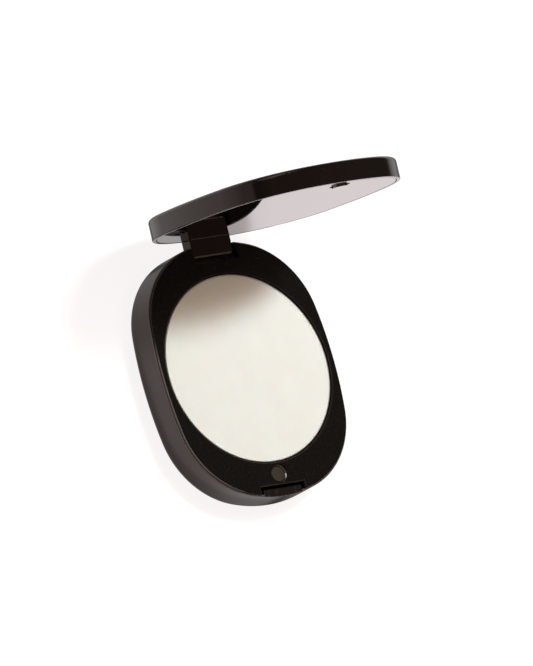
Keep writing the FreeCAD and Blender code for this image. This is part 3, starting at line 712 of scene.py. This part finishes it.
shader.inputs["Subsurface Weight"].default_value = SCATTER_SHARE
shader.inputs["Subsurface Radius"].default_value = SCATTER_COLOURS
shader.inputs["Subsurface Scale"].default_value = SCATTER_REACH
shader.inputs["Specular IOR Level"].default_value = BALM_GLOSS
roughness = total(tree, product(tree, mottle, MOTTLE_ROUGHNESS), BALM_ROUGHNESS)
tree.links.new(roughness, shader.inputs["Roughness"])
roughen(tree, shader, total(tree, mottle, product(tree, pores["Height"], PORE_HEIGHT)), BALM_DEPTH_MM)
print("finish:", balm_finish.name)

# %% [markdown]
# ## Dress the frame's own pieces
# A frame piece whose shape is right keeps its mesh, and only its material slots change.

# %% Give each frame piece its finish
FINISH_OF = {
    "base_shell": case_finish, "lid_shell": case_finish, "deck_plate": deck_finish,
    "lid_magnet": button_finish, "hinge_pin": pin_finish, "mirror": mirror_finish,
    "mirror_backing": backing_finish, "mirror_tape": tape_finish, "pan_tape": tape_finish,
}
for name, finish in FINISH_OF.items():
    mesh = nodes[name].data
    mesh.materials.clear()
    mesh.materials.append(finish)
print("dressed:", len(FINISH_OF), "pieces")

# %% [markdown]
# ## Shapes grown from rules
# The pan, the balm, the magnet and its cup are round and follow simple rules, so each is a small
# geometry tree whose inputs are its real sizes. These helpers start and end such a tree.

# %% Start and end a geometry tree
WELD_DISTANCE = 1e-6


def new_shape_tree(name, labels):
    """A geometry tree with one named size per label, a centre and a finish."""
    tree = bpy.data.node_groups.new(name, "GeometryNodeTree")
    tree.interface.new_socket("Mesh", in_out="OUTPUT", socket_type="NodeSocketGeometry")
    for label in labels:
        tree.interface.new_socket(label, in_out="INPUT", socket_type="NodeSocketFloat")
    tree.interface.new_socket("Centre", in_out="INPUT", socket_type="NodeSocketVector")
    tree.interface.new_socket("Finish", in_out="INPUT", socket_type="NodeSocketMaterial")
    return tree, put(tree, "NodeGroupInput").outputs


def weld(tree, shape):
    """Join the points of a shape that lie on each other."""
    return put(tree, "GeometryNodeMergeByDistance", Geometry=shape, Distance=WELD_DISTANCE).outputs[0]


def end_shape_tree(tree, given, shape):
    """Close the shape's seams, move it to its centre and paint it."""
    closed = weld(tree, shape)
    moved = put(tree, "GeometryNodeSetPosition", Geometry=closed, Offset=given["Centre"]).outputs[0]
    solid = put(tree, "GeometryNodeRealizeInstances", Geometry=moved).outputs[0]
    painted = put(tree, "GeometryNodeSetMaterial", Geometry=solid, Material=given["Finish"]).outputs[0]
    put(tree, "NodeGroupOutput", in_0=painted)


print("tree helpers:", [helper.__name__ for helper in (new_shape_tree, weld, end_shape_tree)])

# %% [markdown]
# ## From a tree to a piece
# `grow` runs a tree with the sizes of one piece and keeps the result as a plain mesh, smooth but for
# its sharp edges. `disc_of` reads those sizes from the frame, and `stand_for` lets the grown piece take
# the place of the frame's own.

# %% Grow a piece
SHARP_ANGLE = math.radians(35)


def grow(name, tree, values):
    """Run a geometry tree with these values and keep its result as a plain mesh."""
    piece = bpy.data.objects.new(name, bpy.data.meshes.new(name))
    bpy.context.scene.collection.objects.link(piece)
    modifier = piece.modifiers.new("shape", "NODES")
    modifier.node_group = tree
    for item in tree.interface.items_tree:
        if item.in_out == "INPUT":
            modifier[item.identifier] = values[item.name]
    evaluated = piece.evaluated_get(bpy.context.evaluated_depsgraph_get())
    mesh = bpy.data.meshes.new_from_object(evaluated)
    piece.modifiers.remove(modifier)
    piece.data = mesh
    shell = bmesh.new()
    shell.from_mesh(mesh)
    bmesh.ops.recalc_face_normals(shell, faces=shell.faces)
    print("grown:", name, len(shell.faces), "faces,", round(shell.calc_volume() / MM ** 3, 1), "mm3")
    shell.to_mesh(mesh)
    shell.free()
    mesh.shade_smooth()
    mesh.set_sharp_from_angle(angle=SHARP_ANGLE)
    return piece


def disc_of(node):
    """Centre, radius, foot and top of a round frame piece."""
    least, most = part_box(node)
    centre = (0.0, (least.y + most.y) / 2, 0.0)
    return centre, (most.x - least.x) / 2, least.z, most.z


def stand_for(piece, node, body, slot):
    """Let a piece take the place of a frame piece and move with its body. The slot is not used."""
    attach(piece, body)
    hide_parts(node)


print("piece helpers:", [helper.__name__ for helper in (grow, disc_of, stand_for)])

# %% [markdown]
# ## Turned shapes
# The pan, the magnet's cup and the magnet itself are round, so one lathe serves all three: a few
# profile points, each corner rounded by its own radius, swept round a circle that is so small that it
# acts as the axis. The sweep puts a profile's Y downwards, so the heights go in with a minus sign.

# %% The lathe
ROUNDING_STEPS, TURN_STEPS = 6, 192
AXIS_RADIUS = 1e-7


def turned_tree(name, labels, profile_of):
    """A tree that turns a profile. profile_of lists (radius, height, rounding), solid on the right."""
    tree, given = new_shape_tree(name, labels)
    profile = profile_of(tree, given)
    index = put(tree, "GeometryNodeInputIndex").outputs[0]
    spot = put(tree, "GeometryNodeIndexSwitch", {"data_type": "VECTOR"}, Index=index)
    rounding = put(tree, "GeometryNodeIndexSwitch", {"data_type": "FLOAT"}, Index=index)
    for switch in (spot, rounding):
        while len(switch.index_switch_items) < len(profile):
            switch.index_switch_items.new()
    for place, (radius, height, corner) in enumerate(profile, start=1):
        down = calc(tree, "MULTIPLY", height, -1.0)
        tree.links.new(put(tree, "ShaderNodeCombineXYZ", X=radius, Y=down).outputs[0], spot.inputs[place])
        tree.links.new(calc(tree, "ADD", corner, 0.0), rounding.inputs[place])
    chain = put(tree, "GeometryNodeMeshLine", Count=len(profile)).outputs[0]
    chain = put(tree, "GeometryNodeSetPosition", Geometry=chain, Position=spot.outputs[0]).outputs[0]
    chain = put(tree, "GeometryNodeMeshToCurve", Mesh=chain).outputs[0]
    chain = put(tree, "GeometryNodeFilletCurve", {"mode": "POLY"}, Curve=chain, Count=ROUNDING_STEPS,
                Radius=rounding.outputs[0]).outputs[0]
    axis = put(tree, "GeometryNodeCurvePrimitiveCircle", Resolution=TURN_STEPS, Radius=AXIS_RADIUS)
    swept = put(tree, "GeometryNodeCurveToMesh", Curve=axis.outputs[0], Profile_Curve=chain).outputs[0]
    end_shape_tree(tree, given, swept)
    return tree


print("lathe:", TURN_STEPS, "steps a turn")

# %% [markdown]
# ## The pan
# The pan is pressed from thin sheet, so its upper edge is rolled smooth and its foot has a soft
# corner. The profile runs from the middle of the bowl out to the wall, over the lip and back under.

# %% Press the pan
def pan_profile(tree, given):
    """The section of a pan of thin sheet."""
    bowl_radius = calc(tree, "SUBTRACT", given["Radius"], given["Wall"])
    bowl_floor = calc(tree, "ADD", given["Foot"], given["Wall"])
    bowl_round = calc(tree, "SUBTRACT", given["Foot round"], given["Wall"])
    return [
        (0.0, bowl_floor, 0.0),
        (bowl_radius, bowl_floor, bowl_round),
        (bowl_radius, given["Edge"], given["Lip round"]),
        (given["Radius"], given["Edge"], given["Lip round"]),
        (given["Radius"], given["Foot"], given["Foot round"]),
        (0.0, given["Foot"], 0.0),
    ]


PAN_WALL = 0.3 * MM
PAN_FOOT_ROUND, PAN_LIP_ROUND = 0.8 * MM, 0.45 * PAN_WALL
pan_tree = turned_tree(
    "pressed_pan", ["Radius", "Foot", "Edge", "Wall", "Foot round", "Lip round"], pan_profile)
pan_centre, pan_radius, pan_foot, pan_edge = disc_of("balm_pan")
pan = grow("pressed_pan", pan_tree, {
    "Radius": pan_radius, "Foot": pan_foot, "Edge": pan_edge, "Wall": PAN_WALL,
    "Foot round": PAN_FOOT_ROUND, "Lip round": PAN_LIP_ROUND,
    "Centre": pan_centre, "Finish": pan_finish,
})
stand_for(pan, "balm_pan", "base", "pan_metal")

# %% [markdown]
# ## The magnet's cup
# The cup is a thin plated shell with a flared mouth. The flare leans to the middle, so only its far
# side sends a lamp's light to the camera, which is the bright crescent beside the magnet.

# %% Turn the cup
def cup_profile(tree, given):
    """The section of a cup with a flared mouth."""
    bore = calc(tree, "SUBTRACT", given["Radius"], given["Wall"])
    cup_floor = calc(tree, "ADD", given["Foot"], given["Floor"])
    flare_foot = calc(tree, "SUBTRACT", given["Lip"], given["Flare"])
    mouth = calc(tree, "SUBTRACT", given["Radius"], given["Rim"])
    return [
        (0.0, cup_floor, 0.0),
        (bore, cup_floor, 0.0),
        (bore, flare_foot, given["Rim"]),
        (mouth, given["Lip"], 0.0),
        (given["Radius"], given["Lip"], 0.0),
        (given["Radius"], given["Foot"], given["Rim"]),
        (0.0, given["Foot"], 0.0),
    ]


CUP_WALL, CUP_FLOOR = 0.25 * MM, 0.3 * MM
CUP_FLARE, CUP_RIM = 0.9 * CUP_WALL, 0.08 * CUP_WALL
cup_tree = turned_tree(
    "flared_cup", ["Radius", "Foot", "Lip", "Wall", "Floor", "Flare", "Rim"], cup_profile)
cup_centre, cup_radius, cup_foot, cup_lip = disc_of("magnet_cup")
cup = grow("flared_cup", cup_tree, {
    "Radius": cup_radius, "Foot": cup_foot, "Lip": cup_lip, "Wall": CUP_WALL, "Floor": CUP_FLOOR,
    "Flare": CUP_FLARE, "Rim": CUP_RIM, "Centre": cup_centre, "Finish": cup_finish,
})
stand_for(cup, "magnet_cup", "base", "cup_metal")

# %% [markdown]
# ## The magnet
# The magnet is a small disc, tumbled before plating, so its edge is rounded and catches a thin line of
# light.

# %% Turn the magnet
def disc_profile(tree, given):
    """The section of a disc with rounded edges."""
    return [
        (0.0, given["Top"], 0.0),
        (given["Radius"], given["Top"], given["Edge round"]),
        (given["Radius"], given["Foot"], given["Edge round"]),
        (0.0, given["Foot"], 0.0),
    ]


MAGNET_EDGE_ROUND = 0.15 * MM
disc_tree = turned_tree("tumbled_disc", ["Radius", "Foot", "Top", "Edge round"], disc_profile)
magnet_centre, magnet_radius, magnet_foot, magnet_top = disc_of("base_magnet")
magnet = grow("tumbled_magnet", disc_tree, {
    "Radius": magnet_radius, "Foot": magnet_foot, "Top": magnet_top, "Edge round": MAGNET_EDGE_ROUND,
    "Centre": magnet_centre, "Finish": magnet_finish,
})
stand_for(magnet, "base_magnet", "base", "magnet_metal")

# %% [markdown]
# ## The balm
# Cream is poured warm into the pan. It climbs the wall a little and sets with a surface that is nearly
# flat, with very shallow waves. The rule starts with a grid that is bent into a disc: one side of the
# grid runs outwards, with rings that crowd towards the wall, and the other runs round.

# %% Bend a grid into a disc
RINGS, SPOKES = 56, 192
GRID_HALF = 0.5
tree, given = new_shape_tree(
    "poured_balm", ["Radius", "Floor", "Surface", "Climb", "Climb width", "Wave", "Waves per metre", "Seed"])
grid = put(tree, "GeometryNodeMeshGrid", Size_X=2 * GRID_HALF, Size_Y=2 * GRID_HALF,
           Vertices_X=RINGS, Vertices_Y=SPOKES + 1)
flat = axes(tree, put(tree, "GeometryNodeInputPosition").outputs[0])
outwards = total(tree, flat["X"], GRID_HALF)
around = product(tree, total(tree, flat["Y"], GRID_HALF), 2 * math.pi)
crowded = calc(tree, "SINE", product(tree, outwards, math.pi / 2))
radius = product(tree, given["Radius"], crowded)
x = product(tree, radius, calc(tree, "COSINE", around))
y = product(tree, radius, calc(tree, "SINE", around))
print("balm: grid of", RINGS, "rings and", SPOKES, "spokes")

# %% [markdown]
# The height of each point is the surface, plus a curve that lifts the edge and dies away from the
# wall, plus a slow noise that is still at the edge.

# %% Climb and waves
NOISE_MIDDLE, STILLNESS = 0.5, 6.0
from_wall = calc(tree, "DIVIDE", calc(tree, "SUBTRACT", radius, given["Radius"]), given["Climb width"])
climb = product(tree, given["Climb"], calc(tree, "EXPONENT", from_wall))
on_plan = put(tree, "ShaderNodeCombineXYZ", X=x, Y=y).outputs[0]
slow = put(tree, "ShaderNodeTexNoise", {"noise_dimensions": "4D"}, Vector=on_plan, W=given["Seed"],
           Scale=given["Waves per metre"], Detail=1.0).outputs[0]
still = outside(tree, calc(tree, "POWER", outwards, STILLNESS))
wave = product(tree, calc(tree, "SUBTRACT", slow, NOISE_MIDDLE), given["Wave"], still)
z = total(tree, climb, wave, given["Surface"])
spot = put(tree, "ShaderNodeCombineXYZ", X=x, Y=y, Z=z).outputs[0]
bent = put(tree, "GeometryNodeSetPosition", Geometry=grid.outputs[0], Position=spot).outputs[0]
disc = weld(tree, bent)
print("balm: surface with a climbing edge and slow waves")

# %% [markdown]
# The disc's open edge, where each line has only one face, is then pulled down to the pan's floor, and a
# flat cap closes it there.

# %% Close the balm
TWO_FACES = 2
open_edge = below(tree, put(tree, "GeometryNodeInputMeshEdgeNeighbors").outputs[0], TWO_FACES)
depth = calc(tree, "SUBTRACT", total(tree, given["Surface"], given["Climb"]), given["Floor"])
drop = put(tree, "ShaderNodeCombineXYZ", Z=product(tree, depth, -1.0)).outputs[0]
walls = put(tree, "GeometryNodeExtrudeMesh", {"mode": "EDGES"}, Mesh=disc, Selection=open_edge, Offset=drop)
cap = put(tree, "GeometryNodeMeshCircle", {"fill_type": "NGON"}, Vertices=SPOKES, Radius=given["Radius"])
lift = put(tree, "ShaderNodeCombineXYZ", Z=given["Floor"]).outputs[0]
cap = put(tree, "GeometryNodeSetPosition", Geometry=cap.outputs[0], Offset=lift).outputs[0]
whole = put(tree, "GeometryNodeJoinGeometry", Geometry=walls.outputs[0])
tree.links.new(cap, whole.inputs[0])
end_shape_tree(tree, given, whole.outputs[0])

CLIMB, CLIMB_WIDTH = 0.07 * MM, 0.35 * MM
WAVE, WAVES_PER_METRE, SEED = 0.05 * MM, 90.0, 7.0
balm_centre, balm_radius, balm_floor, balm_top = disc_of("balm")
balm = grow("poured_balm", tree, {
    "Radius": balm_radius, "Floor": balm_floor, "Surface": balm_top - CLIMB, "Climb": CLIMB,
    "Climb width": CLIMB_WIDTH, "Wave": WAVE, "Waves per metre": WAVES_PER_METRE, "Seed": SEED,
    "Centre": balm_centre, "Finish": balm_finish,
})
stand_for(balm, "balm", "base", "balm_cream")
